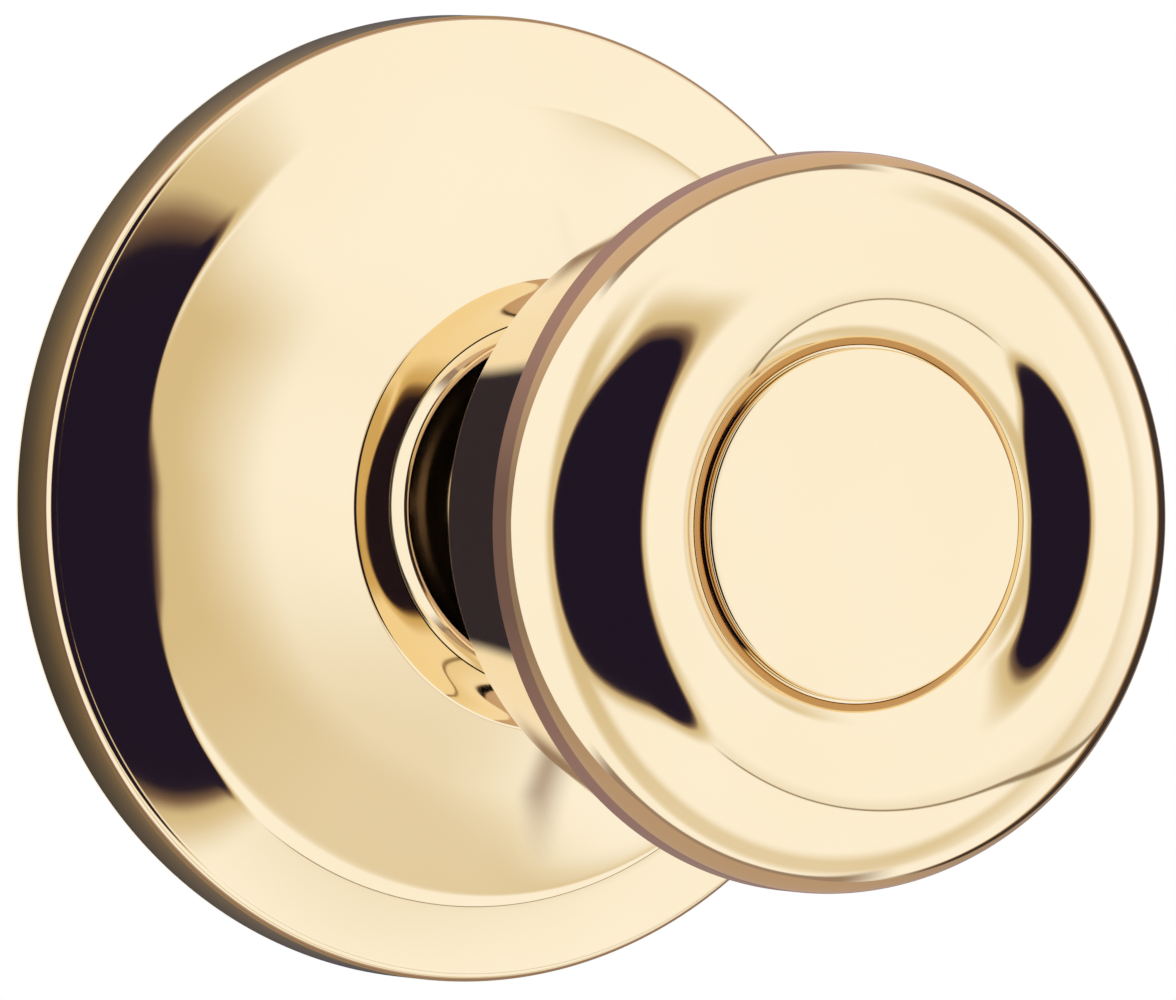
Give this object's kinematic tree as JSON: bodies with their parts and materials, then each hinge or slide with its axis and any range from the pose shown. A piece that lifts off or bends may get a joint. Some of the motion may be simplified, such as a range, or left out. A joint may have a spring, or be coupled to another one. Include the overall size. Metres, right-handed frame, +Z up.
{
  "type": "door knob",
  "caption": "Round passage door knob on a domed rose, sprung to return, with a spindle and bolt posts behind for a bored door.",
  "frame": {"origin": "on the knob's axis at the rose's back plane, where it meets the door's face", "axes": "+Y along the knob's axis into the door, +Z up, +X to the right for somebody who faces the door"},
  "size_m": [0.0666, 0.1138, 0.0666],
  "materials": {
    "polished_brass": "lacquered mirror polish",
    "zinc_plated_steel": "bright zinc plate",
    "spring_steel": "oiled, dark",
    "die_cast_zinc": "as cast",
    "nylon": "moulded, natural"
  },
  "bodies": {
    "door_side": {"rose": "polished_brass", "rose_bush": "nylon", "mounting_plate": "zinc_plated_steel", "spring_housing": "zinc_plated_steel", "shank_bearing": "nylon", "return_spring": "spring_steel", "post_left": "zinc_plated_steel", "post_right": "zinc_plated_steel", "rose_clip_top": "spring_steel", "rose_clip_bottom": "spring_steel", "housing_rivet_1": "zinc_plated_steel", "housing_rivet_2": "zinc_plated_steel", "housing_rivet_3": "zinc_plated_steel"},
    "knob": {"knob_front": "polished_brass", "knob_back": "polished_brass", "knob_neck": "polished_brass", "face_disc": "polished_brass", "disc_clip": "spring_steel", "knob_core": "die_cast_zinc", "shank": "zinc_plated_steel", "spindle": "zinc_plated_steel", "spindle_pin": "zinc_plated_steel", "spring_driver": "zinc_plated_steel", "retaining_ring": "spring_steel", "thrust_washer": "spring_steel"}
  },
  "joints": [
    {"name": "knob_turn", "type": "hinge", "parent": "door_side", "child": "knob", "pos_m": [0, 0, 0], "axis": [0, 1, 0], "range_deg": [-60, 60], "stiffness_Nm_per_rad": 0.25, "deforming": ["return_spring"]}
  ]
}
